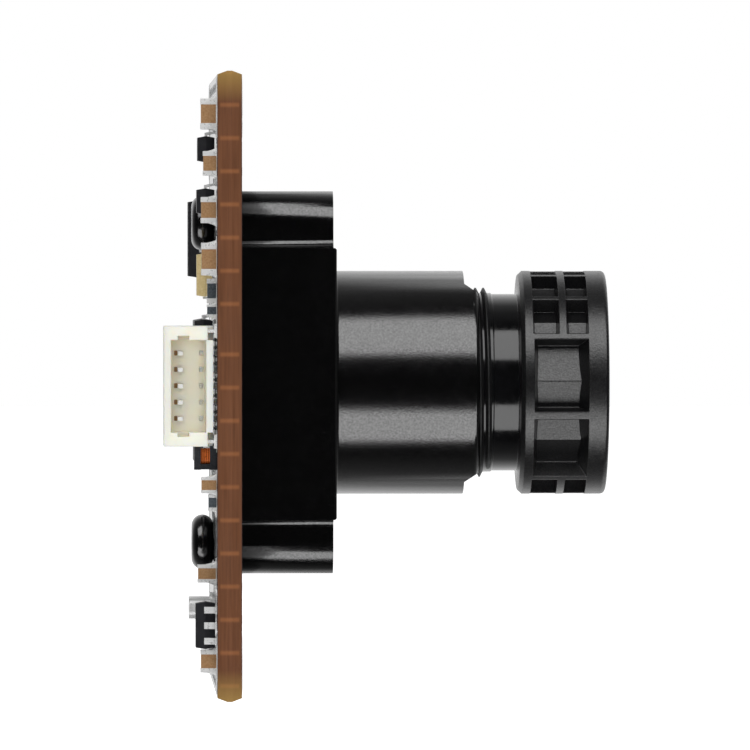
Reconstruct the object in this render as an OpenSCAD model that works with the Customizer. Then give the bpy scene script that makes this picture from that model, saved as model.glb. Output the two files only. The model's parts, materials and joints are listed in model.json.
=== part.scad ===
// Board camera module: a square circuit board that carries an image sensor under a screwed-on
// lens holder on its front face, and its electronics and cable socket on its back face.
// X runs along the optical axis and out of the lens, Z is up. The origin is the centre of the
// board's front face. The socket opens towards -Y.

/* [Board] */
// Side of the square board at its two faces
board_size = 38; // [38:0.5:42]
// Thickness of the board
board_t = 1.5; // [1.2:0.1:1.6]
// How far the snapped score line stands proud round the edge
score_ridge = 0.22; // [0.05:0.01:0.3]
// Spacing of the four corner mounting holes
hole_spacing = 34; // [33:0.5:34]
// Radius of the corner mounting holes
hole_r = 1.1; // [1:0.05:1.3]

/* [Lens holder] */
// Side of the square base block
block_w = 17; // [16:0.25:17]
// Height of the base block over the board
block_h = 6.05; // [5.5:0.05:6.5]
// Distance from the optical axis to each screw ear
ear_reach = 10; // [10:0.1:10.4]
// Radius of the half-round screw ears
ear_r = 2; // [1.8:0.1:2.2]
// Outer radius of the round barrel
barrel_r = 7; // [6.9:0.05:7.3]
// Distance from the board to the rim of the barrel
rim_x = 15; // [14:0.25:15]
// Radius of the bore that the lens screws into
bore_r = 6.02; // [6.01:0.01:6.04]

/* [Lens] */
// Radius over the crests of the lens thread
thread_r = 5.94; // [5.9:0.01:5.96]
// Radius of the plain neck behind the grip ring
neck_r = 5.55; // [5.5:0.01:5.6]
// Outer radius of the grip ring
ring_r = 7; // [6.8:0.05:7.2]
// Gap between the rim and the grip ring at rest
focus_gap = 2.5; // [2.4:0.05:2.6]
// Length of the lens in front of the rim
lens_reach = 8.06; // [8:0.02:8.2]
// Distance from the axis to the flats under the grip pockets
core_flat = 5.88; // [5.8:0.02:5.95]
// Angle of the mould parting line round the axis, from -Y towards +Z
parting = -16.6; // [-30:0.2:0]

/* [Cable socket] */
// Number of contacts
contacts = 5; // [2:1:5]
// Spacing of the contacts
contact_pitch = 1; // [1:0.05:1.1]
// Height of the socket over the board
socket_h = 3.26; // [3.1:0.02:3.4]
// Depth of the socket behind its mouth
socket_d = 4.25; // [4:0.05:4.5]

/* [Hidden] */
$fn = 64;

eps = 0.01;

// ---- Stations along the optical axis, from the board outwards
thread_end_x = rim_x + 0.9;
neck_end_x = rim_x + focus_gap;
band_x = neck_end_x + 0.25;
front_x = rim_x + lens_reach;
lens_rear_x = rim_x - 8;
shoulder_x = rim_x - 0.5;
stop_x = shoulder_x + 0.8;
seat_x = rim_x + 5.7;
run_out_x = rim_x - 3;

// ---- Holder
wall = 1.25;
roof = 1.45;
block_draft = 0.075;
ear_h = block_h - 0.05;
ear_fillet = 0.5;
pilot_r = 0.8;
pilot_depth = 4.6;
slot_depth = 0.86;
slot_half_in = 6.2;
slot_half_out = 5.6;
rim_round = 0.35;

// ---- Lens
thread_root = 5.62;
barrel_bore = 4.65;
rear_bore = 4.3;
seat_bore = 5;
element_r = 4.62;
rear_r = 4.27;

// ---- Board furniture
screw_r = 1;
screw_hole_r = 1.1;
screw_head_r = 1.72;
screw_head_h = 1.36;
screw_length = 6;
ridge_land = 0.3;

// Lays a shape that stands on local Z along the optical axis, starting at x
module along_axis(x = 0) translate([x, 0, 0]) rotate([0, 90, 0]) children();

// Stands a shape on the board's back face: local X becomes Z, local Y stays Y
module on_back(y, z) translate([-board_t, y, z]) rotate([0, -90, 0]) children();

// A slab centred on the axes whose lowest face is at z
module slab(size, z = 0) translate([-size[0] / 2, -size[1] / 2, z]) cube(size);

// A rectangle with four rounded corners
module round_rect(w, h, r) {
    square([w - 2 * r, h], center = true);
    square([w, h - 2 * r], center = true);
    for (sx = [-1, 1], sy = [-1, 1])
        translate([sx * (w / 2 - r), sy * (h / 2 - r)]) circle(r);
}

// A square prism along X with its own profile on all four sides, given as [x, half width]
module square_turned(profile) {
    outline = concat(profile, [for (i = [len(profile) - 1 : -1 : 0]) [profile[i][0], -profile[i][1]]]);
    reach = 40;
    intersection() {
        rotate([90, 0, 0]) translate([0, 0, -reach]) linear_extrude(2 * reach) polygon(outline);
        translate([0, 0, -reach]) linear_extrude(2 * reach) polygon(outline);
    }
}

// ============================ Board ============================
module circuit_board() {
    half = board_size / 2;
    mid = board_t / 2;
    color([0.46, 0.3, 0.21]) difference() {
        square_turned([[-board_t, half], [-mid - ridge_land / 2, half + score_ridge],
            [-mid + ridge_land / 2, half + score_ridge], [0, half]]);
        for (sy = [-1, 1], sz = [-1, 1])
            translate([0, sy * hole_spacing / 2, sz * hole_spacing / 2])
                along_axis(-board_t - 1) cylinder(r = hole_r, h = board_t + 2);
        for (side = [-1, 1])
            translate([0, 0, side * ear_reach])
                along_axis(-board_t - 1) cylinder(r = screw_hole_r, h = board_t + 2);
    }
}

// ============================ Image sensor ============================
package_h = 1.5;
well_h = 0.7;
die_h = 0.25;

module sensor_package()
    color([0.85, 0.84, 0.8]) along_axis() difference() {
        linear_extrude(package_h) round_rect(8.6, 9.6, 0.3);
        translate([0, 0, package_h - well_h]) linear_extrude(well_h + 1) round_rect(5.6, 6.8, 0.2);
    }

module sensor_die() color([0.3, 0.32, 0.36]) along_axis(package_h - well_h) slab([4.2, 5.8, die_h]);

module sensor_glass() color([0.7, 0.85, 0.85, 0.5]) along_axis(package_h) slab([7.8, 8.8, 0.4]);

// ============================ Lens holder ============================
// One screw ear: a half-round post joined to the block by two hollow fillets
module ear_outline() {
    root = block_w / 2 - 0.3;
    circle(ear_r);
    translate([-ear_r, root - ear_reach]) square([2 * ear_r, ear_reach - root]);
    for (side = [-1, 1])
        translate([side * (ear_r + ear_fillet / 2), block_w / 2 - ear_reach - 0.1 + ear_fillet / 2])
            difference() {
                square([ear_fillet, ear_fillet + 0.2], center = true);
                translate([side * ear_fillet / 2, ear_fillet / 2 + 0.1]) circle(ear_fillet);
            }
}

module ears()
    for (side = [-1, 1])
        rotate([side > 0 ? 0 : 180, 0, 0]) translate([0, 0, ear_reach])
            rotate([90, 0, 90]) linear_extrude(ear_h) ear_outline();

// The sloped glue slot across the top of the rim: it opens into the thread
module glue_slot()
    rotate([90, 0, 0]) translate([0, 0, -barrel_r]) linear_extrude(2 * barrel_r)
        polygon([[rim_x - slot_depth, slot_half_in], [rim_x + 0.5, slot_half_out - 0.35],
            [rim_x + 0.5, barrel_r + 1], [rim_x - slot_depth, barrel_r + 1]]);

module lens_holder() {
    cavity = block_w - 2 * wall;
    base_fillet = 0.3;
    color([0.06, 0.06, 0.07]) difference() {
        union() {
            square_turned([[0, block_w / 2], [block_h - 0.1, block_w / 2 - block_draft],
                [block_h, block_w / 2 - block_draft - 0.1]]);
            ears();
            along_axis() rotate_extrude($fn = 128) {
                square([barrel_r, rim_x - rim_round]);
                square([barrel_r - rim_round, rim_x]);
                translate([barrel_r - rim_round, rim_x - rim_round]) circle(rim_round);
                translate([barrel_r - eps, block_h - eps]) difference() {
                    square(base_fillet);
                    translate([base_fillet, base_fillet]) circle(base_fillet);
                }
            }
        }
        along_axis(-1) linear_extrude(block_h - roof + 1) round_rect(cavity, cavity, 0.8);
        along_axis(-1) cylinder(r = bore_r, h = rim_x + 2, $fn = 128);
        for (side = [-1, 1])
            translate([0, 0, side * ear_reach]) along_axis(-1) cylinder(r = pilot_r, h = pilot_depth + 1);
        for (turn = [0, 180]) rotate([turn, 0, 0]) glue_slot();
    }
}

// Pan head screw with a cross recess, driven from the back of the board into an ear
module holder_screw() {
    edge = screw_head_h / 2;
    color([0.05, 0.05, 0.06]) along_axis(-board_t) difference() {
        rotate_extrude() {
            translate([0, -screw_head_h]) square([screw_head_r - edge, screw_head_h]);
            translate([screw_head_r - edge, -edge]) circle(edge);
            polygon([[0, -eps], [screw_r, -eps], [screw_r, screw_length - 0.8], [0.4, screw_length],
                [0, screw_length]]);
        }
        for (turn = [20, 110])
            rotate([0, 0, turn]) translate([-0.95, -0.18, -screw_head_h - 0.1]) cube([1.9, 0.36, 0.88]);
    }
}

module holder_screw_top() translate([0, 0, ear_reach]) holder_screw();
module holder_screw_bottom() translate([0, 0, -ear_reach]) holder_screw();

// ============================ Lens ============================
// Cutter for one grip pocket: a sector of a ring, centred phi round from the parting line.
// Its two end walls lean back by their own angles, so the pocket is narrower at its floor.
module pocket(phi, open, x0, x1, rear_lean, front_lean) {
    floor_r = 5.3;
    over = 0.5;
    deep = ring_r - floor_r;
    along_axis() rotate([0, 0, -90 - parting - phi - open / 2]) rotate_extrude(angle = open)
        polygon([[floor_r, x0 + deep * tan(rear_lean)], [ring_r + over, x0 - over * tan(rear_lean)],
            [ring_r + over, x1 + over * tan(front_lean)], [floor_r, x1 - deep * tan(front_lean)]]);
}

// The ten-sided core that the pocket floors lie on: one flat faces the parting line
module pocket_core() {
    x0 = band_x + 0.1;
    along_axis(x0) rotate([0, 0, -90 - parting - 18])
        cylinder(r = core_flat / cos(18), h = front_x - x0 - 0.2, $fn = 10);
}

module grip_pockets() {
    first = neck_end_x + 0.85;
    last = front_x - 1.27;
    waist = first + 1.82;
    difference() {
        for (half_turn = [0, 180]) {
            for (side = [-1, 1])
                pocket(half_turn + side * 21, 38, first + 0.05, last, 12, 28);
            for (row = [54 : 24 : 126]) {
                pocket(half_turn + row, 21.8, first, waist - 0.2, 6, 10);
                pocket(half_turn + row, 21.8, waist + 0.25, last - 0.02, 10, 6);
            }
        }
        pocket_core();
    }
}

module lens_barrel() {
    edge = 0.3;
    color([0.07, 0.07, 0.08]) difference() {
        along_axis() rotate_extrude($fn = 128) difference() {
            union() {
                polygon([[rear_bore, lens_rear_x], [thread_root, lens_rear_x], [thread_r, lens_rear_x + 0.3],
                    [thread_r, run_out_x], [thread_root, run_out_x + 0.3], [thread_root, thread_end_x],
                    [neck_r, thread_end_x + 0.05], [neck_r, neck_end_x], [ring_r - 0.25, neck_end_x + 0.08],
                    [ring_r, band_x + 0.1], [ring_r, front_x - edge], [ring_r - edge, front_x - edge],
                    [ring_r - edge, front_x], [6.05, front_x], [seat_bore, front_x - 0.8], [seat_bore, seat_x],
                    [barrel_bore, seat_x], [barrel_bore, stop_x], [2.4, stop_x], [2.4, shoulder_x],
                    [rear_bore, shoulder_x]]);
                translate([ring_r - edge, front_x - edge]) circle(edge);
            }
        }
        grip_pockets();
    }
}

// A turned glass from x0 to x1: its front bulges to x1, its back is hollowed as far as hollow_x
module glass_lens(r, x0, x1, bulge, hollow, hollow_x)
    along_axis() rotate_extrude($fn = 96) difference() {
        intersection() {
            translate([0, x0]) square([r, x1 - x0 + 1]);
            translate([0, x1 - bulge]) circle(bulge, $fn = 128);
        }
        translate([0, hollow_x - hollow]) circle(hollow, $fn = 128);
    }

module front_retainer()
    color([0.08, 0.08, 0.08]) along_axis(seat_x) rotate_extrude($fn = 96)
        polygon([[3.95, 0], [4.96, 0], [4.96, 1.25], [4.5, 1.25], [3.95, 0.5]]);

module front_element()
    color([0.6, 0.75, 0.9, 0.5]) glass_lens(element_r, rim_x + 3.6, seat_x + 0.87, 9, 3.6, seat_x - 0.49);

module spacer_ring()
    color([0.05, 0.05, 0.05]) along_axis(rim_x + 2.1) rotate_extrude($fn = 96)
        polygon([[3.9, 0], [element_r, 0], [element_r, 1.5], [3.4, 1.5]]);

module second_element()
    color([0.6, 0.75, 0.9, 0.5]) glass_lens(element_r, stop_x + 0.3, rim_x + 2.8, 9.5, 5, stop_x + 1.03);

module aperture_stop()
    color([0.03, 0.03, 0.03]) along_axis(stop_x) rotate_extrude($fn = 96)
        polygon([[1.6, 0.1], [1.9, 0], [4.58, 0], [4.58, 0.28], [1.9, 0.28], [1.6, 0.16]]);

module rear_element()
    color([0.6, 0.75, 0.9, 0.5]) glass_lens(rear_r, shoulder_x - 2.3, shoulder_x, 20, 6, shoulder_x - 1.6);

module rear_retainer()
    color([0.08, 0.08, 0.08]) along_axis(shoulder_x - 3.6) rotate_extrude($fn = 96)
        polygon([[3.7, 0], [rear_r, 0], [rear_r, 1.3], [3.5, 1.3]]);

module infrared_filter()
    color([0.8, 0.45, 0.5, 0.5]) along_axis(shoulder_x - 4.15) cylinder(r = rear_r, h = 0.55, $fn = 96);

// ============================ Cable socket ============================
// The socket is drawn standing on the board with local X along the row of contacts,
// local Y away from its mouth and local Z up from the board.
socket_w = (contacts - 1) * contact_pitch + 3.34;
socket_mouth = -board_size / 2 + 0.15;
cavity_w = (contacts - 1) * contact_pitch + 1.63;
cavity_z = 0.68;
cavity_h = 2.14;
cavity_d = 3.3;
contact_z = 2.1;
contact_w = 0.24;
contact_t = 0.3;

module at_socket() on_back(socket_mouth, 0) children();

module socket_housing()
    color([0.93, 0.9, 0.8]) at_socket() difference() {
        translate([-socket_w / 2, 0, 0.24]) cube([socket_w, socket_d, socket_h - 0.24]);
        // cavity, with a keyway at each end
        translate([-cavity_w / 2, -1, cavity_z]) cube([cavity_w, cavity_d + 1, cavity_h]);
        translate([-cavity_w / 2 - 0.26, -1, 1.72]) cube([cavity_w + 0.52, cavity_d - 0.4 + 1, 0.7]);
        // relief under each end for the solder tabs
        for (side = [-1, 1])
            translate([side * (socket_w / 2 - 0.3) - 0.55, -1, 0]) cube([1.1, 3.2, 0.58]);
        // each contact has a shallow latch window in the cavity floor and a slot through the back wall
        for (i = [0 : contacts - 1])
            translate([(i - (contacts - 1) / 2) * contact_pitch, 0, 0]) {
                translate([-0.14, 0.5, cavity_z - 0.15]) cube([0.28, 1.6, 1]);
                translate([-contact_w / 2, cavity_d - 0.1, contact_z]) cube([contact_w, socket_d, contact_t]);
            }
    }

// A contact is one strip: a blade in the cavity, a drop through the back wall and a foot
module socket_contacts()
    color([0.85, 0.8, 0.62]) at_socket()
        for (i = [0 : contacts - 1])
            translate([(i - (contacts - 1) / 2) * contact_pitch - contact_w / 2, 0, 0]) {
                translate([0, 0.55, contact_z]) cube([contact_w, socket_d - 0.3, contact_t]);
                translate([0, socket_d + 0.03, 0]) cube([contact_w, 0.22, contact_z + contact_t]);
                translate([0, socket_d + 0.03, 0]) cube([contact_w, 0.85, 0.2]);
            }

module socket_tabs()
    color([0.8, 0.8, 0.8]) at_socket()
        for (side = [-1, 1])
            translate([side * (socket_w / 2 - 0.3) - 0.4, 0.3, 0]) {
                cube([0.8, 1.9, 0.2]);
                translate([0.3, 0, 0]) cube([0.2, 1.9, 0.58]);
            }

// ============================ Chips ============================
// Moulded body with draft above and below its parting line, standing on local Z
module chip_body(l, w, z0, z1, lean = 0.1) {
    mid = (z0 + z1) / 2;
    intersection() {
        rotate([90, 0, 0]) translate([0, 0, -w / 2]) linear_extrude(w)
            polygon([[-l / 2 + lean, z0], [l / 2 - lean, z0], [l / 2, mid], [l / 2 - lean, z1],
                [-l / 2 + lean, z1], [-l / 2, mid]]);
        rotate([90, 0, 90]) translate([0, 0, -l / 2]) linear_extrude(l)
            polygon([[-w / 2 + lean, z0], [w / 2 - lean, z0], [w / 2, mid], [w / 2 - lean, z1],
                [-w / 2 + lean, z1], [-w / 2, mid]]);
    }
}

// Gull-wing lead that leaves a body at half width `from`, drops and runs out to `to` along local Y
module gull_lead(from, to, height, wide) {
    t = 0.15;
    knee = from + 0.28;
    rotate([90, 0, 90]) translate([0, 0, -wide / 2]) linear_extrude(wide)
        polygon([[from - 0.02, height], [knee - 0.08, height], [knee + 0.02, t], [to, t], [to, 0],
            [knee - 0.08, 0], [knee - 0.22, height - t], [from - 0.02, height - t]]);
}

// Small three-to-five lead regulator package, long side along local X
module small_chip(h) chip_body(2.9, 1.6, 0.1, h);

module small_chip_leads(h, near = [-0.95, 0, 0.95], far = [-0.95, 0.95])
    for (turn = [0, 180])
        rotate([0, 0, turn])
            for (x = turn == 0 ? far : near)
                translate([x, 0, 0]) gull_lead(0.8, 1.4, h * 0.6, 0.4);

// Where each regulator stands: [y, z, turn, height]
regulator_places = [[-12.6, 14.5, 90, 1.15], [-12.4, 11.3, 90, 1.2], [-15.9, -14.65, 0, 1.3]];
module at_regulator(i) {
    place = regulator_places[i];
    on_back(place[0], place[1]) rotate([0, 0, place[2]]) children();
}

module regulator(i) color([0.12, 0.12, 0.13]) at_regulator(i) small_chip(regulator_places[i][3]);
module regulator_1() regulator(0);
module regulator_2() regulator(1);
module regulator_3() regulator(2);

module regulator_leads()
    color([0.75, 0.75, 0.76])
        for (i = [0 : len(regulator_places) - 1]) at_regulator(i) small_chip_leads(regulator_places[i][3]);

// Video processor: a flat package with a row of leads on each of its four sides
processor_at = [-1.5, -0.5];
processor_w = 9;
module processor()
    color([0.1, 0.1, 0.11]) on_back(processor_at[0], processor_at[1]) chip_body(processor_w, processor_w, 0.1, 1.25);

module processor_leads()
    color([0.75, 0.75, 0.76]) on_back(processor_at[0], processor_at[1])
        for (turn = [0 : 90 : 270], i = [-7 : 7])
            rotate([0, 0, turn]) translate([i * 0.5, 0, 0]) gull_lead(processor_w / 2, processor_w / 2 + 0.9, 0.7, 0.22);

memory_at = [8.5, 9];
module memory_chip() color([0.11, 0.11, 0.12]) on_back(memory_at[0], memory_at[1]) chip_body(4.9, 3.9, 0.12, 1.5);

module memory_leads()
    color([0.75, 0.75, 0.76]) on_back(memory_at[0], memory_at[1])
        for (turn = [0, 180], i = [-1.5 : 1.5])
            rotate([0, 0, turn]) translate([i * 1.27, 0, 0]) gull_lead(1.95, 3, 0.8, 0.42);

// Metal can of the clock crystal
module crystal_can()
    color([0.82, 0.82, 0.83]) on_back(-6.4, -13.9) {
        linear_extrude(0.3) round_rect(1.8, 4.2, 0.4);
        translate([0, 0, 0.3]) linear_extrude(1.3) round_rect(1.3, 3.7, 0.5);
    }

// Power inductor: a ferrite bobbin with a window through which the winding shows
inductor_at = [-15.6, -4.43];
module inductor_core()
    color([0.16, 0.16, 0.18]) on_back(inductor_at[0], inductor_at[1]) {
        slab([1.4, 2, 0.42]);
        slab([1.4, 2, 0.4], 0.98);
        slab([0.7, 0.9, 1.3], 0.05);
        translate([-0.52, 0, 0]) slab([0.32, 1.9, 1.3], 0.05);
    }

module inductor_winding()
    color([0.9, 0.42, 0.2]) on_back(inductor_at[0], inductor_at[1]) difference() {
        translate([0.14, 0, 0.42]) linear_extrude(0.56) round_rect(0.94, 1.7, 0.3);
        slab([0.7, 0.9, 2]);
    }

tantalum_at = [-4.4, 6.75];
module tantalum() color([0.86, 0.72, 0.42]) on_back(tantalum_at[0], tantalum_at[1]) chip_body(2.7, 1.6, 0.12, 1.1, 0.08);

module tantalum_tabs()
    color([0.75, 0.75, 0.76]) on_back(tantalum_at[0], tantalum_at[1])
        for (side = [-1, 1]) {
            translate([side * 0.95, 0, 0]) slab([0.9, 1.1, 0.12]);
            translate([side * 1.42, 0, 0]) slab([0.12, 1.1, 0.7]);
        }

// Two-terminal chips: [y, z, length along z, width along y, height]
capacitor_places = [[-14.6, 16.65, 1.9, 1.25, 0.98], [-16.6, 13.6, 1.5, 0.8, 0.86],
    [-15.7, 10.75, 1.6, 0.9, 0.98], [-16.4, 7.75, 2, 1.2, 0.96], [-16, -16.85, 1.4, 0.8, 1],
    [-17.1, -6.05, 1.0, 0.5, 0.98], [-14, -11.55, 1.1, 0.9, 1.15]];
resistor_places = [[-15.4, 5.8, 1.5, 0.8, 0.6], [-16.4, 4.6, 0.75, 0.5, 0.62], [-16.9, -7.12, 1.0, 0.5, 0.55]];

// A fifth of the length at each end of a chip is its metal cap
cap_share = 0.2;

module chip_middle(place)
    on_back(place[0], place[1])
        slab([place[2] * (1 - 2 * cap_share), place[3] - 0.06, place[4] - 0.06], 0.03);

module chip_ends(places)
    for (place = places, side = [-1, 1])
        on_back(place[0], place[1])
            translate([side * place[2] * (1 - cap_share) / 2, 0, 0])
                slab([place[2] * cap_share, place[3], place[4]]);

module capacitor(i) color([0.62, 0.45, 0.3]) chip_middle(capacitor_places[i]);
module capacitor_1() capacitor(0);
module capacitor_2() capacitor(1);
module capacitor_3() capacitor(2);
module capacitor_4() capacitor(3);
module capacitor_5() capacitor(4);
module capacitor_6() capacitor(5);
module capacitor_7() capacitor(6);
module capacitor_ends() color([0.85, 0.85, 0.84]) chip_ends(capacitor_places);

module resistor(i) color([0.12, 0.12, 0.14]) chip_middle(resistor_places[i]);
module resistor_1() resistor(0);
module resistor_2() resistor(1);
module resistor_3() resistor(2);
module resistor_ends() color([0.85, 0.85, 0.84]) chip_ends(resistor_places);

circuit_board();
sensor_package();
sensor_die();
sensor_glass();
lens_holder();
holder_screw_top();
holder_screw_bottom();
lens_barrel();
front_retainer();
front_element();
spacer_ring();
second_element();
aperture_stop();
rear_element();
rear_retainer();
infrared_filter();
socket_housing();
socket_contacts();
socket_tabs();
processor();
processor_leads();
memory_chip();
memory_leads();
regulator_1();
regulator_2();
regulator_3();
regulator_leads();
crystal_can();
inductor_core();
inductor_winding();
tantalum();
tantalum_tabs();
capacitor_1();
capacitor_2();
capacitor_3();
capacitor_4();
capacitor_5();
capacitor_6();
capacitor_7();
capacitor_ends();
resistor_1();
resistor_2();
resistor_3();
resistor_ends();
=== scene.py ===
"""Board camera module: materials, small detail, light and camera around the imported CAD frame.

X runs along the optical axis and out of the lens, Z is up, and everything is in metres.
"""
import json
import math
import random

import bmesh
import bpy
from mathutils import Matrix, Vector


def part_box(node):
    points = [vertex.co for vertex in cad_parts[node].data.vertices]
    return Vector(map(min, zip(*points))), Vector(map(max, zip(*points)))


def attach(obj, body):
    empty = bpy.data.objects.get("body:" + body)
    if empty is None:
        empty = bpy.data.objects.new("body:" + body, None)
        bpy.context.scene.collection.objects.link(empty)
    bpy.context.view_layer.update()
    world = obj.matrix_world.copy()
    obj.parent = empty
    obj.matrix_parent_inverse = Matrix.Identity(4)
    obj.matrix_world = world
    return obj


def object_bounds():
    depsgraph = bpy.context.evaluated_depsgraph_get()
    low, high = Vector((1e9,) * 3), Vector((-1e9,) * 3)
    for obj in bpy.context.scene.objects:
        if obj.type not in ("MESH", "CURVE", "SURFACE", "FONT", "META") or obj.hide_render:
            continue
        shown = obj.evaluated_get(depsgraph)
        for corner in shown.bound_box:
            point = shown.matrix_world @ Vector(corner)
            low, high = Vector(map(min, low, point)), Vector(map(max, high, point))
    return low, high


MM = 0.001

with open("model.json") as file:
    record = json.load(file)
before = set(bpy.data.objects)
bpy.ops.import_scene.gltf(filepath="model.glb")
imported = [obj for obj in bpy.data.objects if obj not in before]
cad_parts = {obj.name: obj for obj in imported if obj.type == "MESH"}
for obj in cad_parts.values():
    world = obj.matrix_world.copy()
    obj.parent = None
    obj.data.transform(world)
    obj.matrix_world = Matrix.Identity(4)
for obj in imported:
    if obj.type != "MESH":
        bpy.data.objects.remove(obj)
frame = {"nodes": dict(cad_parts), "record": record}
cad_low, cad_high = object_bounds()
NODES = frame["nodes"]

# the ground ring's vias stand one pitch apart, in two runs that don't line up with each other
STITCH_PITCH = 2.02 * MM
UPPER_STITCH = 5.02 * MM
LOWER_STITCH = 1.95 * MM
STITCH_SPLIT = 3.5 * MM

# the corner holes stand this far from the board's centre lines
HOLE_REACH = 17 * MM
# flat detail is sunk this far into the face it lies on
SUNK = -0.01 * MM
# heights over the board of a trace under the solder mask and of silkscreen ink
TRACE_TOP = 0.018 * MM
INK_TOP = 0.028 * MM
# the cosine and sine of 0, 90, 180 and 270 degrees
QUARTER_TURNS = ((1, 0), (0, 1), (-1, 0), (0, -1))


# ------------------------------------------------------------------ camera
def make_camera():
    """A long lens that looks along +Y at the edge of the board."""
    data = bpy.data.cameras.new("camera")
    camera = bpy.data.objects.new("camera", data)
    bpy.context.scene.collection.objects.link(camera)
    place = Vector((-10.17, -640.0, 8.31)) * MM
    aim = Vector((8.66, 0.0, 0.46)) * MM
    data.sensor_width = 36
    data.lens = 489.6
    data.clip_start = 0.01
    data.clip_end = 20
    camera.location = place
    camera.rotation_euler = (aim - place).to_track_quat("-Z", "Y").to_euler()
    bpy.context.scene.camera = camera


# ------------------------------------------------------------------ node material helpers
class Shader:
    """Short names for building one node material."""

    def __init__(self, name):
        self.material = bpy.data.materials.new(name)
        self.material.use_nodes = True
        self.tree = self.material.node_tree
        self.bsdf = self.tree.nodes["Principled BSDF"]
        self.coord = None

    def node(self, kind, **settings):
        made = self.tree.nodes.new(kind)
        for key, value in settings.items():
            setattr(made, key, value)
        return made

    def link(self, source, target):
        self.tree.links.new(source, target)

    def feed(self, target, value):
        """Sets a socket to a number or colour, or links it to another socket."""
        if isinstance(value, bpy.types.NodeSocket):
            self.link(value, target)
        elif isinstance(value, (tuple, list)) and len(value) == 3 and target.type == "RGBA":
            target.default_value = (*value, 1)
        else:
            target.default_value = value

    def set(self, **values):
        """Sets inputs of the Principled shader: names use _ for spaces."""
        for key, value in values.items():
            self.feed(self.bsdf.inputs[key.replace("_", " ")], value)
        return self

    def place(self):
        """The piece's own coordinates, in metres, which move with it."""
        if self.coord is None:
            self.coord = self.node("ShaderNodeTexCoord")
        return self.coord.outputs["Object"]

    def facing(self):
        """The surface normal in the piece's own axes."""
        self.place()
        return self.coord.outputs["Normal"]

    def split(self, vector):
        made = self.node("ShaderNodeSeparateXYZ")
        self.link(vector, made.inputs[0])
        return made.outputs["X"], made.outputs["Y"], made.outputs["Z"]

    def math(self, operation, *values):
        made = self.node("ShaderNodeMath", operation=operation)
        for i, value in enumerate(values):
            self.feed(made.inputs[i], value)
        return made.outputs[0]

    def noise(self, scale, detail=3, rough=0.55, stretch=(1, 1, 1)):
        """Noise whose scale is in features per metre."""
        mapping = self.node("ShaderNodeMapping")
        self.link(self.place(), mapping.inputs["Vector"])
        mapping.inputs["Scale"].default_value = stretch
        made = self.node("ShaderNodeTexNoise")
        self.link(mapping.outputs[0], made.inputs["Vector"])
        made.inputs["Scale"].default_value = scale
        made.inputs["Detail"].default_value = detail
        made.inputs["Roughness"].default_value = rough
        return made.outputs["Fac"]

    def band(self, value, low, high, blur):
        """1 between low and high, fading to 0 over blur on each side."""
        made = self.node("ShaderNodeMapRange")
        self.feed(made.inputs["Value"], value)
        made.inputs["From Min"].default_value = low - blur
        made.inputs["From Max"].default_value = low
        other = self.node("ShaderNodeMapRange")
        self.feed(other.inputs["Value"], value)
        other.inputs["From Min"].default_value = high
        other.inputs["From Max"].default_value = high + blur
        other.inputs["To Min"].default_value = 1
        other.inputs["To Max"].default_value = 0
        return self.math("MULTIPLY", made.outputs[0], other.outputs[0])

    def ramp(self, value, low, high, to_low=0.0, to_high=1.0):
        made = self.node("ShaderNodeMapRange")
        self.feed(made.inputs["Value"], value)
        for key, number in zip(("From Min", "From Max", "To Min", "To Max"), (low, high, to_low, to_high)):
            made.inputs[key].default_value = number
        return made.outputs[0]

    def mix(self, factor, a, b):
        """Colour mix: a where the factor is 0 and b where it is 1."""
        made = self.node("ShaderNodeMix", data_type="RGBA")
        self.feed(made.inputs["Factor"], factor)
        self.feed(made.inputs["A"], a)
        self.feed(made.inputs["B"], b)
        return made.outputs["Result"]

    def bump(self, height, distance, strength=1.0, normal=None):
        made = self.node("ShaderNodeBump")
        self.feed(made.inputs["Height"], height)
        made.inputs["Distance"].default_value = distance
        made.inputs["Strength"].default_value = strength
        if normal is not None:
            self.link(normal, made.inputs["Normal"])
        return made.outputs["Normal"]


# ------------------------------------------------------------------ geometry helpers
def add_piece(name, verts, faces, body, material, smooth=True):
    """Makes one mesh piece from points in metres, gives it a material and puts it on a body."""
    mesh = bpy.data.meshes.new(name)
    mesh.from_pydata([tuple(v) for v in verts], [], faces)
    made = bpy.data.objects.new(name, mesh)
    bpy.context.scene.collection.objects.link(made)
    work = bmesh.new()
    work.from_mesh(mesh)
    bmesh.ops.remove_doubles(work, verts=work.verts, dist=1e-8)
    bmesh.ops.recalc_face_normals(work, faces=work.faces)
    work.to_mesh(mesh)
    work.free()
    for polygon in mesh.polygons:
        polygon.use_smooth = smooth
    mesh.materials.append(material)
    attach(made, body)
    return made


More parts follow.
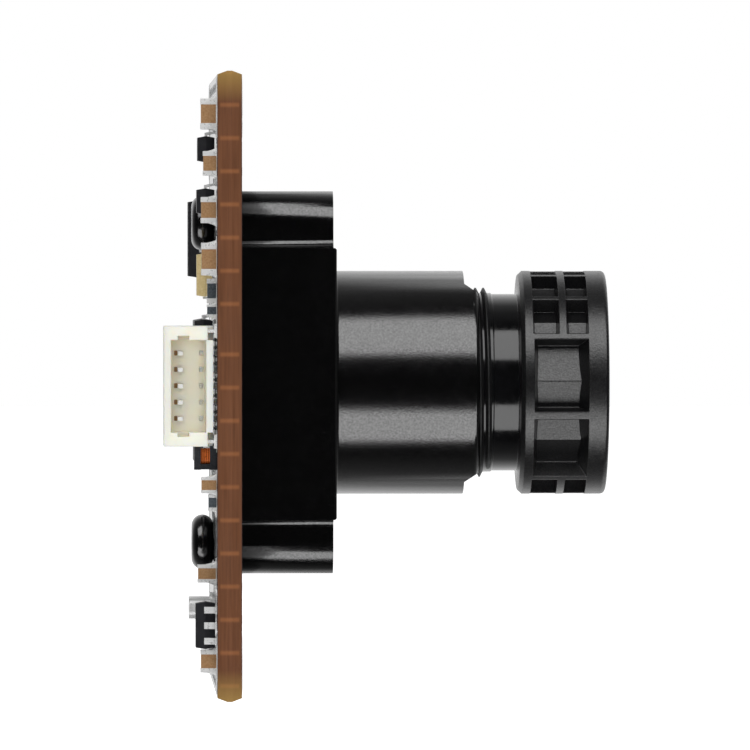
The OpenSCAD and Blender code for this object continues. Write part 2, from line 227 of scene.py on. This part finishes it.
class Builder:
    """Collects the points and faces of many small closed shapes for one piece."""

    def __init__(self):
        self.verts = []
        self.faces = []

    def grid(self, rows, close_rows=False, close_columns=False):
        """Faces between rows of points of equal length."""
        start = len(self.verts)
        count = len(rows[0])
        for row in rows:
            self.verts.extend(row)
        last_row = len(rows) if close_rows else len(rows) - 1
        last_column = count if close_columns else count - 1
        for i in range(last_row):
            for j in range(last_column):
                a = start + i * count + j
                b = start + i * count + (j + 1) % count
                c = start + ((i + 1) % len(rows)) * count + (j + 1) % count
                d = start + ((i + 1) % len(rows)) * count + j
                self.faces.append((a, b, c, d))
        return start

    def cap(self, start, count, flip=False):
        ring = list(range(start, start + count))
        self.faces.append(tuple(reversed(ring)) if flip else tuple(ring))

    def tube(self, rows):
        """A closed solid through rings of equal length."""
        count = len(rows[0])
        start = self.grid(rows, close_columns=True)
        self.cap(start, count, flip=True)
        self.cap(start + (len(rows) - 1) * count, count)

    def prism(self, outline, place, low, high, taper=0.0):
        """An outline of (u, v) points raised from low to high, pulled in by taper at its top."""
        centre_u = sum(p[0] for p in outline) / len(outline)
        centre_v = sum(p[1] for p in outline) / len(outline)
        rows = []
        for height, pull in ((low, 0.0), (high, taper)):
            ring = []
            for u, v in outline:
                away = math.hypot(u - centre_u, v - centre_v) or 1.0
                keep = 1 - pull / away
                ring.append(place(centre_u + (u - centre_u) * keep, centre_v + (v - centre_v) * keep, height))
            rows.append(ring)
        self.tube(rows)

    def piece(self, name, body, material, slot, smooth=True):
        """Makes everything collected so far into one piece on a body."""
        return add_piece(name, self.verts, self.faces, body, material, smooth)


BOARD_LOW, BOARD_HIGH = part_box("circuit_board")
BACK_X = BOARD_LOW.x
FRONT_X = BOARD_HIGH.x


def on_back(u, v, height):
    """A point over the back face: u along Z, v along Y, height away from the board."""
    return Vector((BACK_X - height, v, u))


def on_front(u, v, height):
    """A point over the front face, with the same u and v."""
    return Vector((FRONT_X + height, v, u))


def rounded(width, depth, radius, steps=4):
    """Outline of a rounded rectangle round the origin."""
    points = []
    for corner in range(4):
        turn = math.pi / 2 * corner
        cu = (width / 2 - radius) * (1 if corner in (0, 3) else -1)
        cv = (depth / 2 - radius) * (1 if corner in (0, 1) else -1)
        for i in range(steps + 1):
            a = turn + math.pi / 2 * i / steps
            points.append((cu + radius * math.cos(a), cv + radius * math.sin(a)))
    return points


def shifted(outline, u, v):
    """An outline moved by u and v."""
    return [(p[0] + u, p[1] + v) for p in outline]


def circle(radius, steps=24):
    """Outline of a circle round the origin."""
    return [(radius * math.cos(2 * math.pi * i / steps), radius * math.sin(2 * math.pi * i / steps))
            for i in range(steps)]


# ------------------------------------------------------------------ materials
def black_plastic(name, grey, rough, specular, grain=0.0, grain_scale=9000, tint=(1, 1, 1.12)):
    """Black moulded plastic: a fine eroded grain and slight unevenness in its gloss."""
    s = Shader(name)
    uneven = s.noise(700, 3)
    s.set(
        Base_Color=s.mix(s.ramp(uneven, 0.35, 0.65), tuple(grey * t * 0.8 for t in tint),
                         tuple(grey * t * 1.25 for t in tint)),
        Roughness=s.ramp(s.noise(2200, 4), 0.3, 0.7, rough * 0.88, rough * 1.14),
        Specular_IOR_Level=s.ramp(s.noise(8000, 2), 0.3, 0.7, specular * 0.74, specular * 1.06),
        IOR=1.75,
    )
    if grain:
        s.set(Normal=s.bump(s.noise(grain_scale, 2), grain))
    return s.material


def board_material():
    """Brown laminate at the snapped edges, glossy near-black solder mask on both faces."""
    s = Shader("board")
    x, y, z = s.split(s.place())
    nx, ny, nz = s.split(s.facing())
    face = s.ramp(s.math("ABSOLUTE", nx), 0.9, 0.97)
    edge = s.math("SUBTRACT", 1, face)
    # laminate: plies that run parallel to the faces, with a little drift in tone
    plies = s.noise(9000, 2, 0.5, (1, 0.03, 0.03))
    drift = s.noise(420, 3, 0.6)
    brown = s.mix(s.ramp(plies, 0.3, 0.7), (0.098, 0.036, 0.0145), (0.152, 0.057, 0.023))
    brown = s.mix(s.ramp(drift, 0.3, 0.75, 0, 0.45), brown, (0.167, 0.058, 0.019))
    # the vias of the ground ring show through the edge as paler ticks
    upright = s.math("GREATER_THAN", s.math("ABSOLUTE", ny), s.math("ABSOLUTE", nz))
    along = s.math("ADD", y, s.math("MULTIPLY", s.math("SUBTRACT", z, y), upright))
    upper = s.math("GREATER_THAN", along, STITCH_SPLIT)
    start = s.ramp(upper, 0, 1, LOWER_STITCH, UPPER_STITCH)
    wave = s.math("PINGPONG", s.math("SUBTRACT", along, start), STITCH_PITCH / 2)
    across = s.band(x, BACK_X + 0.22 * MM, FRONT_X - 0.22 * MM, 0.1 * MM)
    tick = s.math("MULTIPLY", s.band(wave, -1, 0.05 * MM, 0.14 * MM), across)
    brown = s.mix(s.math("MULTIPLY", tick, 0.55), brown, (0.32, 0.12, 0.042))
    # darker line along each face, olive tone near the corners
    rim = s.math("SUBTRACT", 1, s.band(x, BACK_X + 0.07 * MM, FRONT_X - 0.07 * MM, 0.05 * MM))
    brown = s.mix(s.math("MULTIPLY", rim, 0.75), brown, (0.066, 0.026, 0.018))
    olive = s.ramp(s.math("ABSOLUTE", along), 17.3 * MM, 19.1 * MM)
    brown = s.mix(s.math("MULTIPLY", olive, 0.7), brown, (0.37, 0.23, 0.062))
    mask_tone = s.mix(s.ramp(s.noise(300, 2), 0.3, 0.7), (0.004, 0.006, 0.007), (0.009, 0.012, 0.013))
    s.set(
        Base_Color=s.mix(face, brown, mask_tone),
        Roughness=s.math("ADD", s.math("MULTIPLY", edge, s.ramp(plies, 0.3, 0.7, 0.34, 0.48)), 0.12),
        Specular_IOR_Level=0.5,
        Normal=s.bump(s.math("MULTIPLY", plies, edge), 0.012 * MM, 0.6),
    )
    return s.material


def solder_mask():
    """The mask where it lies over copper: a shade paler and very glossy."""
    s = Shader("solder_mask")
    s.set(
        Base_Color=s.mix(s.ramp(s.noise(900, 2), 0.3, 0.7), (0.011, 0.014, 0.013), (0.019, 0.023, 0.02)),
        Roughness=s.ramp(s.noise(2600, 2), 0.3, 0.7, 0.09, 0.16),
        Normal=s.bump(s.noise(5000, 2), 0.004 * MM, 0.4),
    )
    return s.material


def tin(name="tin", tone=0.95, rough=0.3):
    """Bright plated metal or solder with a slightly crystalline surface."""
    s = Shader(name)
    cells = s.noise(5200, 4, 0.6)
    s.set(
        Base_Color=s.mix(cells, (tone * 0.86, tone * 0.86, tone * 0.85), (tone, tone, tone)),
        Metallic=0.3,
        Roughness=s.ramp(cells, 0.3, 0.7, rough * 0.75, rough * 1.35),
        Normal=s.bump(cells, 0.02 * MM, 0.7),
    )
    return s.material


def ceramic(name, dark, light, rough=0.45):
    """Fired ceramic or moulded resin with a fine grain between two tones."""
    s = Shader(name)
    grain = s.noise(9000, 3)
    s.set(
        Base_Color=s.mix(s.ramp(grain, 0.3, 0.7), dark, light),
        Roughness=s.ramp(s.noise(3000, 2), 0.3, 0.7, rough * 0.85, rough * 1.15),
        Normal=s.bump(grain, 0.006 * MM, 0.5),
    )
    return s.material


def nylon():
    """Natural cream nylon: light goes well into it, and through its thin walls."""
    s = Shader("nylon")
    cloud = s.noise(500, 3)
    s.set(
        Base_Color=s.mix(s.ramp(cloud, 0.3, 0.7), (0.94, 0.87, 0.73), (0.97, 0.915, 0.8)),
        Roughness=s.ramp(s.noise(4000, 2), 0.3, 0.7, 0.34, 0.46),
        Subsurface_Weight=0.7,
        Subsurface_Radius=(1.0, 0.72, 0.45),
        Subsurface_Scale=1.2 * MM,
        Normal=s.bump(s.noise(6000, 3), 0.006 * MM, 0.4),
    )
    return s.material


def lens_material():
    """One moulding in three finishes: bright thread and neck, grained grip ring."""
    ring_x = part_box("lens_barrel")[1].x - 5.56 * MM
    s = Shader("lens_plastic")
    x = s.split(s.place())[0]
    ring = s.ramp(x, ring_x - 0.05 * MM, ring_x + 0.05 * MM)
    fine = s.noise(9500, 2)
    uneven = s.noise(900, 3)
    speckle = s.ramp(s.math("MULTIPLY", s.math("SUBTRACT", fine, 0.5), ring), -0.2, 0.2, 0.74, 1.18)
    soft = s.node("ShaderNodeBevel", samples=8)
    soft.inputs["Radius"].default_value = 0.11 * MM
    s.set(
        Base_Color=s.mix(s.ramp(uneven, 0.3, 0.7), (0.0022, 0.0022, 0.0026), (0.0042, 0.0042, 0.0048)),
        Roughness=s.math("ADD", s.math("MULTIPLY", ring, 0.19),
                         s.ramp(s.noise(2500, 3), 0.3, 0.7, 0.1, 0.15)),
        Specular_IOR_Level=s.math("MULTIPLY", s.ramp(ring, 0, 1, 0.52, 0.64), speckle),
        IOR=1.75,
        Normal=s.bump(s.math("MULTIPLY", fine, ring), 0.016 * MM, 0.8, soft.outputs["Normal"]),
    )
    return s.material


def glass(name, tint, film):
    """Polished glass with an anti-reflection film."""
    s = Shader(name)
    s.set(
        Base_Color=s.mix(s.noise(40, 1), tint, tuple(t * 0.97 for t in tint)),
        Roughness=0.02,
        Transmission_Weight=1.0,
        IOR=1.52,
        Thin_Film_Thickness=film,
        Thin_Film_IOR=1.38,
    )
    return s.material


def epoxy():
    """Chip moulding compound: matt, with a fine sandblasted surface."""
    s = Shader("epoxy")
    fine = s.noise(14000, 2)
    s.set(
        Base_Color=s.mix(s.ramp(s.noise(1500, 3), 0.3, 0.7), (0.008, 0.008, 0.01), (0.018, 0.018, 0.021)),
        Roughness=s.ramp(fine, 0.3, 0.7, 0.38, 0.55),
        Normal=s.bump(fine, 0.008 * MM, 0.8),
    )
    return s.material


def silicon():
    """Sensor die: a mosaic of fine cells that turns colour with the angle."""
    s = Shader("silicon")
    s.set(
        Base_Color=s.mix(s.noise(12000, 1), (0.05, 0.07, 0.12), (0.12, 0.07, 0.14)),
        Metallic=0.6,
        Roughness=0.18,
        Coat_Weight=0.6,
        Normal=s.bump(s.noise(20000, 1), 0.003 * MM, 0.3),
    )
    return s.material


def copper():
    """Enamelled winding: fine turns across the bobbin, with painted shade in the grooves between turns and a
    painted highlight on their crowns.
    """
    s = Shader("copper")
    x = s.split(s.place())[0]
    turn = s.math("SINE", s.math("MULTIPLY", x, 2 * math.pi / (0.14 * MM)))
    # the colour follows each turn: darker in the grooves as painted shade, brighter on the crowns as painted
    # highlight
    s.set(
        Base_Color=s.mix(s.ramp(turn, -1, 1), (0.5, 0.1, 0.02), (0.95, 0.24, 0.06)),
        Metallic=0.3,
        Roughness=s.ramp(s.noise(4000, 2), 0.3, 0.7, 0.25, 0.4),
        Normal=s.bump(turn, 0.02 * MM),
    )
    return s.material


def ink():
    """White silkscreen ink."""
    s = Shader("ink")
    s.set(Base_Color=s.mix(s.noise(5000, 3), (0.62, 0.62, 0.6), (0.8, 0.8, 0.78)), Roughness=0.6,
          Normal=s.bump(s.noise(9000, 2), 0.006 * MM, 0.5))
    return s.material


MATERIALS = {
    "board_laminate": board_material(),
    "package_ceramic": ceramic("package_ceramic", (0.6, 0.58, 0.52), (0.75, 0.73, 0.66)),
    "silicon": silicon(),
    "cover_glass": glass("cover_glass", (0.93, 0.97, 0.96), 110),
    "holder_plastic": black_plastic("holder_plastic", 0.0012, 0.165, 0.95, 0.006 * MM, 9000),
    "screw_black": black_plastic("screw_black", 0.003, 0.16, 0.9, 0.003 * MM, 4000, (1, 1, 1.05)),
    "lens_plastic": lens_material(),
    "lens_black": black_plastic("lens_black", 0.004, 0.5, 0.4, 0.006 * MM),
    "optical_glass": glass("optical_glass", (0.97, 0.98, 1.0), 105),
    "filter_glass": glass("filter_glass", (0.75, 0.95, 0.93), 260),
    "socket_nylon": nylon(),
    "contact_plate": tin("contact_plate", 0.95, 0.34),
    "tin_plate": tin(),
    "chip_black": epoxy(),
    "can_steel": tin("can_steel", 0.86, 0.33),
    "ferrite": ceramic("ferrite", (0.018, 0.019, 0.022), (0.04, 0.042, 0.05), 0.4),
    "copper_wire": copper(),
    "tantalum_case": ceramic("tantalum_case", (0.74, 0.56, 0.25), (0.88, 0.71, 0.38), 0.4),
    "capacitor_ceramic": ceramic("capacitor_ceramic", (0.3, 0.16, 0.07), (0.42, 0.25, 0.125)),
    "resistor_ceramic": ceramic("resistor_ceramic", (0.05, 0.06, 0.07), (0.1, 0.115, 0.13), 0.3),
}
SHADED_NYLON = ceramic("shaded_nylon", (0.2, 0.115, 0.05), (0.3, 0.18, 0.085), 0.5)
INK = ink()
MASK = solder_mask()


def dress_nodes():
    """Each CAD node takes its slot's material, and a small bevel where its edges are crisp.

    The lens barrel has none: its material rounds its edges.
    """
    slot_of = {part["node"]: part["material_slot"] for part in frame["record"]["subparts"]}
    bevels = {"capacitor_ends": 0.05, "resistor_ends": 0.04, "socket_housing": 0.04,
              "lens_holder": 0.05, "tantalum": 0.03, "inductor_core": 0.04,
              "circuit_board": 0.01, "processor": 0.04, "memory_chip": 0.04, "regulator_1": 0.03,
              "regulator_2": 0.03, "regulator_3": 0.03, "crystal_can": 0.08, "socket_contacts": 0.02}
    for name, node in NODES.items():
        node.data.materials.clear()
        node.data.materials.append(MATERIALS[slot_of[name]])
        width = bevels.get(name)
        if width:
            weld = node.modifiers.new("weld", "WELD")
            weld.merge_threshold = 1e-7
            bevel = node.modifiers.new("bevel", "BEVEL")
            bevel.width = width * MM
            bevel.segments = 2
            bevel.limit_method = "ANGLE"
            bevel.angle_limit = math.radians(40)
            bevel.harden_normals = True
            bevel.use_clamp_overlap = True


# ------------------------------------------------------------------ small detail
def lens_thread():
    """The fine right-hand thread that shows between the rim and the neck."""
    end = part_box("lens_barrel")[1].x - 7.16 * MM
    crest, root, sunk = 5.94 * MM, 5.6 * MM, 5.55 * MM
    pitch = 0.5 * MM
    turns = 7.6
    steps = 120
    fade = 0.12
    phase = math.radians(40)
    rows = []
    for i in range(int(turns * steps) + 1):
        t = i / steps
        angle = 2 * math.pi * t + phase
        centre = end - 0.22 * MM - (turns - t) * pitch
        grow = min(1, t / fade, (turns - t) / fade)
        top = root + (crest - root) * max(grow, 0.02)
        ring = []
        section = ((-0.215, sunk), (-0.205, root), (-0.035, top),
                   (0.035, top), (0.205, root), (0.215, sunk))
        for dx, radius in section:
            ring.append(Vector((centre + dx * MM, radius * math.cos(angle), radius * math.sin(angle))))
        rows.append(ring)
    made = Builder()
    made.tube(rows)
    made.piece("lens_thread", "lens", MATERIALS["lens_black"], "lens_black", smooth=False)


def chips():
    """Each two-terminal chip's centre, length, width and height, worked out from its ceramic middle."""
    found = []
    for name in sorted(NODES):
        if name.startswith(("capacitor_", "resistor_")) and not name.endswith("_ends"):
            low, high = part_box(name)
            length = (high.z - low.z) / 0.6
            found.append(((low.z + high.z) / 2, (low.y + high.y) / 2, length,
                          high.y - low.y + 0.06 * MM, BACK_X - low.x + 0.03 * MM))
    return found


def solder_wedge(made, place, u, v, direction, width, height, reach):
    """A concave fillet that runs from an upright end at u down to the pad, reach away."""
    rows = []
    steps, across = 8, 9
    for i in range(steps + 1):
        t = i / steps
        rise = height * (1 - t) ** 2.1 + 0.02 * MM * (1 - t)
        spread = width / 2 * (1 + 0.16 * math.sqrt(t))
        row = []
        for j in range(across):
            w = 2 * j / (across - 1) - 1
            lift = rise * (1 - abs(w) ** 6 * 0.8)
            row.append(place(u + direction * (reach * t - 0.03 * MM), v + spread * w, lift))
        for j in reversed(range(across)):
            w = 2 * j / (across - 1) - 1
            row.append(place(u + direction * (reach * t - 0.03 * MM), v + spread * w, SUNK))
        rows.append(row)
    made.tube(rows)


def chip_solder():
    made = Builder()
    rng = random.Random(4)
    for u, v, length, width, height in chips():
        for side in (-1, 1):
            reach = rng.uniform(0.24, 0.34) * MM
            climb = height * rng.uniform(0.62, 0.85)
            solder_wedge(made, on_back, u + side * length / 2, v, side, width * 0.98, climb, reach)
            pad = rounded(length * 0.34 + reach, width * 1.2, 0.05 * MM)
            centre = u + side * (length / 2 + reach / 2 - length * 0.1)
            made.prism(shifted(pad, centre, v), on_back, SUNK, 0.035 * MM, 0.01 * MM)
    made.piece("chip_solder", "board", MATERIALS["tin_plate"], "tin_plate")


def foot_solder():
    """A pad and a small mound of solder round each lead's foot."""
    made = Builder()
    for node, lift in (("regulator_leads", 0.15), ("processor_leads", 0.12), ("memory_leads", 0.15),
                       ("socket_contacts", 0.18), ("socket_tabs", 0.2), ("tantalum_tabs", 0.12)):
        for low, high in lead_feet(node):
            u, v = (low.z + high.z) / 2, (low.y + high.y) / 2
            wide = rounded(high.z - low.z + 0.16 * MM, high.y - low.y + 0.22 * MM, 0.06 * MM)
            made.prism(shifted(wide, u, v), on_back, SUNK, 0.03 * MM, 0.01 * MM)
            near = rounded(high.z - low.z + 0.08 * MM, high.y - low.y + 0.1 * MM, 0.05 * MM)
            made.prism(shifted(near, u, v), on_back, 0.02 * MM, lift * MM, 0.06 * MM)
    made.piece("foot_solder", "board", MATERIALS["tin_plate"], "tin_plate")


def lead_feet(node):
    """The box of each lead's foot: the points of each loose part that lie on the board."""
    work = bmesh.new()
    work.from_mesh(NODES[node].data)
    bmesh.ops.remove_doubles(work, verts=work.verts, dist=1e-7)
    left = set(work.verts)
    feet = []
    while left:
        stack = [left.pop()]
        group = list(stack)
        while stack:
            for edge in stack.pop().link_edges:
                for vert in edge.verts:
                    if vert in left:
                        left.discard(vert)
                        stack.append(vert)
                        group.append(vert)
        low_points = [v.co.copy() for v in group if BACK_X - v.co.x < 0.02 * MM]
        if low_points:
            feet.append((Vector((0, min(p.y for p in low_points), min(p.z for p in low_points))),
                         Vector((0, max(p.y for p in low_points), max(p.z for p in low_points)))))
    work.free()
    return feet


def socket_details():
    """Inside the socket: a low latch pad under each blade, and a dark patch where the blade comes through,
    painted shade in place of the opening.
    """
    housing_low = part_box("socket_housing")[0]
    blades_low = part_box("socket_contacts")[0]
    wall_y = housing_low.y + 3.3 * MM
    pads, gap_shade = Builder(), Builder()

    def on_wall(u, v, height):
        return Vector((BACK_X - v, wall_y - height, u))

    for low, high in lead_feet("socket_contacts"):
        u = (low.z + high.z) / 2
        latch = rounded(0.3 * MM, 0.24 * MM, 0.06 * MM)
        pads.prism(shifted(latch, u, 0.95 * MM), on_wall, SUNK, 0.12 * MM, 0.05 * MM)
        # a thin dark patch on the wall by each blade: painted shade standing in for the opening the blade
        # comes through
        slot = rounded(0.3 * MM, 0.2 * MM, 0.05 * MM)
        gap_v = BACK_X - blades_low.x + 0.1 * MM
        gap_shade.prism(shifted(slot, u, gap_v), on_wall, SUNK, 0.02 * MM)
    pads.piece("latch_pads", "board", MATERIALS["socket_nylon"], "socket_nylon", smooth=False)
    gap_shade.piece("blade_gap_shade", "board", SHADED_NYLON, "socket_nylon", smooth=False)


def hole_rings():
    """A plated ring round each corner hole, on both faces."""
    made = Builder()
    # the section of a ring, as radius and height over the board in millimetres
    section = ((1.11, -0.01), (1.11, 0.03), (1.13, 0.04), (1.85, 0.04), (1.88, 0.03), (1.88, -0.01))
    for place in (on_back, on_front):
        for su in (-1, 1):
            for sv in (-1, 1):
                rows = []
                for radius, height in section:
                    rows.append([place(su * HOLE_REACH + p[0], sv * HOLE_REACH + p[1], height * MM)
                                 for p in circle(radius * MM, 48)])
                made.grid(rows, close_rows=True, close_columns=True)
    made.piece("hole_rings", "board", MATERIALS["tin_plate"], "tin_plate")


# ------------------------------------------------------------------ traces, vias and silkscreen
def ribbon(made, place, points, width, top):
    """A flat strip along a path of (u, v) points, mitred at its corners."""
    rows = []
    for i, (u, v) in enumerate(points):
        before = points[max(i - 1, 0)]
        after = points[min(i + 1, len(points) - 1)]
        du, dv = after[0] - before[0], after[1] - before[1]
        run = math.hypot(du, dv)
        au, av = -dv / run * width / 2, du / run * width / 2
        rows.append([place(u + au, v + av, SUNK), place(u + au, v + av, top),
                     place(u - au, v - av, top), place(u - au, v - av, SUNK)])
    made.tube(rows)


def via(made, place, u, v, radius=0.28 * MM):
    """A tented via: a low ring of mask round a dimple."""
    rows = []
    for share, height in ((1.0, -0.01), (0.93, 0.022), (0.5, 0.022), (0.36, 0.004)):
        rows.append([place(u + p[0], v + p[1], height * MM) for p in circle(radius * share, 20)])
    made.tube(rows)


def fan_out(made, place, centre, count, pitch, near, far, spread, skip=0.0):
    """Traces that leave the four sides of a square part, spread apart and end in staggered vias."""
    for cos, sin in QUARTER_TURNS:

        def spot(out, side):
            return centre[0] + out * cos - side * sin, centre[1] + out * sin + side * cos

        for i in range(-count, count + 1):
            side = i * pitch
            if cos and abs(side) < skip:
                continue
            jog = spread * abs(i)
            bend = near + 0.25 * MM + 0.12 * MM * (count - abs(i))
            moved = side + math.copysign(jog, i)
            end = far + (0.65 * MM if i % 2 else 0)
            ribbon(made, place, [spot(near, side), spot(bend, side), spot(bend + jog + 0.001 * MM, moved),
                                 spot(end, moved)], 0.16 * MM, TRACE_TOP)
            via(made, place, *spot(end + 0.2 * MM, moved))


def traces():
    """Fan-outs on both faces, the socket's tracks, and the ground ring with its stitching vias."""
    made = Builder()
    ring_reach, ring_half = 18.3 * MM, 14.9 * MM
    low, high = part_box("processor")
    centre = ((low.z + high.z) / 2, (low.y + high.y) / 2)
    fan_out(made, on_back, centre, 7, 0.5 * MM, 5.3 * MM, 8 * MM, 0.3 * MM)
    fan_out(made, on_front, (0, 0), 5, 1.4 * MM, 8.2 * MM, 10.8 * MM, 0.18 * MM, 2.8 * MM)
    for i, (low, high) in enumerate(sorted(lead_feet("socket_contacts"), key=lambda foot: foot[0].z)):
        u = (low.z + high.z) / 2
        jog = (0.3 + 0.25 * (i % 2)) * MM
        ribbon(made, on_back, [(u, high.y), (u, high.y + 0.6 * MM), (u + jog, high.y + 0.6 * MM + jog),
                               (u + jog, high.y + 1.9 * MM)], 0.25 * MM, TRACE_TOP)
        via(made, on_back, u + jog, high.y + 2.1 * MM)
    for place in (on_back, on_front):
        for along in stitch_places():
            for edge in (-ring_reach, ring_reach):
                for u, v in ((along, edge), (edge, along)):
                    if math.hypot(abs(u) - HOLE_REACH, abs(v) - HOLE_REACH) > 2.3 * MM:
                        via(made, place, u, v, 0.3 * MM)
        # the ground ring itself, a broad low strip inside each edge
        for cos, sin in QUARTER_TURNS:
            ends = [(ring_reach * cos - side * sin, ring_reach * sin + side * cos)
                    for side in (-ring_half, ring_half)]
            ribbon(made, place, ends, 0.8 * MM, 0.012 * MM)
    made.piece("traces", "board", MASK, "board_laminate", smooth=False)


def stitch_places():
    """Where the stitching vias stand along an edge."""
    return ([UPPER_STITCH + STITCH_PITCH * k for k in range(7)]
            + [LOWER_STITCH - STITCH_PITCH * k for k in range(10)])


def silkscreen():
    """White outlines round the parts, without any lettering."""
    made = Builder()

    def line(place, *points):
        ribbon(made, place, points, 0.15 * MM, INK_TOP)

    for u, v, length, width, _ in chips():
        for side in (-1, 1):
            across = v + side * (width / 2 + 0.27 * MM)
            line(on_back, (u - length * 0.24, across), (u + length * 0.24, across))
    for name, gap in (("processor", 1.35 * MM), ("crystal_can", 0.35 * MM), ("inductor_core", 0.3 * MM)):
        low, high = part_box(name)
        for su, u in ((-1, low.z - gap), (1, high.z + gap)):
            for sv, v in ((-1, low.y - gap), (1, high.y + gap)):
                arm = min(high.z - low.z, high.y - low.y) * 0.22
                line(on_back, (u - su * arm, v), (u, v), (u, v - sv * arm))
    low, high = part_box("processor")
    made.prism(shifted(circle(0.3 * MM, 20), high.z + 1.9 * MM, high.y + 1.9 * MM), on_back, SUNK, INK_TOP)
    low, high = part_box("socket_housing")
    behind = high.y + 1.4 * MM
    for sign, u in ((-1, low.z), (1, high.z)):
        beside = u + sign * 0.3 * MM
        line(on_back, (beside, low.y + 0.6 * MM), (beside, behind), (u - sign * 0.6 * MM, behind))
    low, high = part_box("memory_chip")
    for u in (low.z - 0.35 * MM, high.z + 0.35 * MM):
        line(on_back, (u, low.y + 0.4 * MM), (u, high.y - 0.4 * MM))
    # the holder's outline on the front, broken at its two ears
    out, gap = 8.85 * MM, 2.9 * MM
    for su in (-1, 1):
        for sv in (-1, 1):
            line(on_front, (su * out, sv * gap), (su * out, sv * out), (su * 0.5 * MM, sv * out))
    made.piece("silkscreen", "board", INK, "board_laminate", smooth=False)


# ------------------------------------------------------------------ light and surroundings
def area_light(name, azimuth, elevation, distance, width, height, radiance):
    """A softbox that faces the origin, of a given radiance. Azimuth 0 is on the camera's side."""
    data = bpy.data.lights.new(name, "AREA")
    data.shape = "RECTANGLE"
    data.size = width
    data.size_y = height
    data.energy = radiance * math.pi * width * height
    lamp = bpy.data.objects.new(name, data)
    bpy.context.scene.collection.objects.link(lamp)
    az, el = math.radians(azimuth), math.radians(elevation)
    lamp.location = (distance * math.sin(az) * math.cos(el), -distance * math.cos(az) * math.cos(el),
                     distance * math.sin(el))
    lamp.rotation_euler = (-lamp.location).to_track_quat("-Z", "Y").to_euler()
    lamp.visible_camera = False
    return lamp


def seen_directly(tree):
    """1 for rays from the camera, also through glass, and 0 for all others."""
    path = tree.nodes.new("ShaderNodeLightPath")
    seen = tree.nodes.new("ShaderNodeMath")
    seen.operation = "MAXIMUM"
    tree.links.new(path.outputs["Is Camera Ray"], seen.inputs[0])
    tree.links.new(path.outputs["Is Transmission Ray"], seen.inputs[1])
    return seen.outputs[0]


def surroundings():
    """White to the camera. To all else it is white behind the object and dark on the camera's side."""
    world = bpy.data.worlds.new("studio")
    bpy.context.scene.world = world
    world.use_nodes = True
    tree = world.node_tree
    background = tree.nodes["Background"]
    coord = tree.nodes.new("ShaderNodeTexCoord")
    split = tree.nodes.new("ShaderNodeSeparateXYZ")
    tree.links.new(coord.outputs["Generated"], split.inputs[0])
    ramp = tree.nodes.new("ShaderNodeValToRGB")
    stops = ((0.0, 0.006), (0.42, 0.008), (0.5, 0.05), (0.62, 0.09), (0.75, 0.21), (0.93, 0.95))
    while len(ramp.color_ramp.elements) < len(stops):
        ramp.color_ramp.elements.new(0.5)
    for element, (place, value) in zip(ramp.color_ramp.elements, stops):
        element.position = place
        element.color = (value, value, value, 1)
    scale = tree.nodes.new("ShaderNodeMapRange")
    scale.inputs["From Min"].default_value = -1
    tree.links.new(split.outputs["Y"], scale.inputs["Value"])
    tree.links.new(scale.outputs[0], ramp.inputs["Fac"])
    mix = tree.nodes.new("ShaderNodeMix")
    mix.data_type = "RGBA"
    tree.links.new(seen_directly(tree), mix.inputs["Factor"])
    tree.links.new(ramp.outputs["Color"], mix.inputs["A"])
    mix.inputs["B"].default_value = (1, 1, 1, 1)
    tree.links.new(mix.outputs["Result"], background.inputs["Color"])


def floor():
    """A pale sheet under the object that fades to white away from it and keeps its shadow."""
    size, level = 1.6, cad_low.z - 7 * MM
    mesh = bpy.data.meshes.new("floor")
    mesh.from_pydata([(-size, -size, level), (size, -size, level), (size, size, level), (-size, size, level)],
                     [], [(0, 1, 2, 3)])
    sheet = bpy.data.objects.new("floor", mesh)
    bpy.context.scene.collection.objects.link(sheet)
    material = bpy.data.materials.new("floor")
    material.use_nodes = True
    tree = material.node_tree
    tree.nodes.clear()
    out = tree.nodes.new("ShaderNodeOutputMaterial")
    add = tree.nodes.new("ShaderNodeAddShader")
    diffuse = tree.nodes.new("ShaderNodeBsdfDiffuse")
    diffuse.inputs["Color"].default_value = (0.9, 0.9, 0.9, 1)
    glow = tree.nodes.new("ShaderNodeEmission")
    coord = tree.nodes.new("ShaderNodeTexCoord")
    length = tree.nodes.new("ShaderNodeVectorMath")
    length.operation = "LENGTH"
    tree.links.new(coord.outputs["Object"], length.inputs[0])
    fade = tree.nodes.new("ShaderNodeMapRange")
    for key, value in (("From Min", 0.03), ("From Max", 0.1), ("To Min", 0.85), ("To Max", 1.0)):
        fade.inputs[key].default_value = value
    tree.links.new(length.outputs["Value"], fade.inputs["Value"])
    strength = tree.nodes.new("ShaderNodeMath")
    strength.operation = "MULTIPLY"
    tree.links.new(fade.outputs[0], strength.inputs[0])
    tree.links.new(seen_directly(tree), strength.inputs[1])
    tree.links.new(strength.outputs[0], glow.inputs["Strength"])
    tree.links.new(diffuse.outputs[0], add.inputs[0])
    tree.links.new(glow.outputs[0], add.inputs[1])
    tree.links.new(add.outputs[0], out.inputs["Surface"])
    mesh.materials.append(material)
    # the lower softbox shines through the sheet, as through a frosted table
    sheet.visible_shadow = False
    sheet.visible_diffuse = False
    sheet.visible_glossy = False


bpy.context.scene.view_settings.view_transform = "Standard"
make_camera()
dress_nodes()
lens_thread()
chip_solder()
foot_solder()
socket_details()
hole_rings()
traces()
silkscreen()
surroundings()
floor()
area_light("upper_softbox", 0, 51, 0.45, 0.9, 0.345, 2.0)
area_light("lower_softbox", 0, -46.5, 0.45, 0.9, 0.29, 1.95)
area_light("front_fill", 0, 4, 0.9, 0.3, 0.3, 10.5).visible_glossy = False
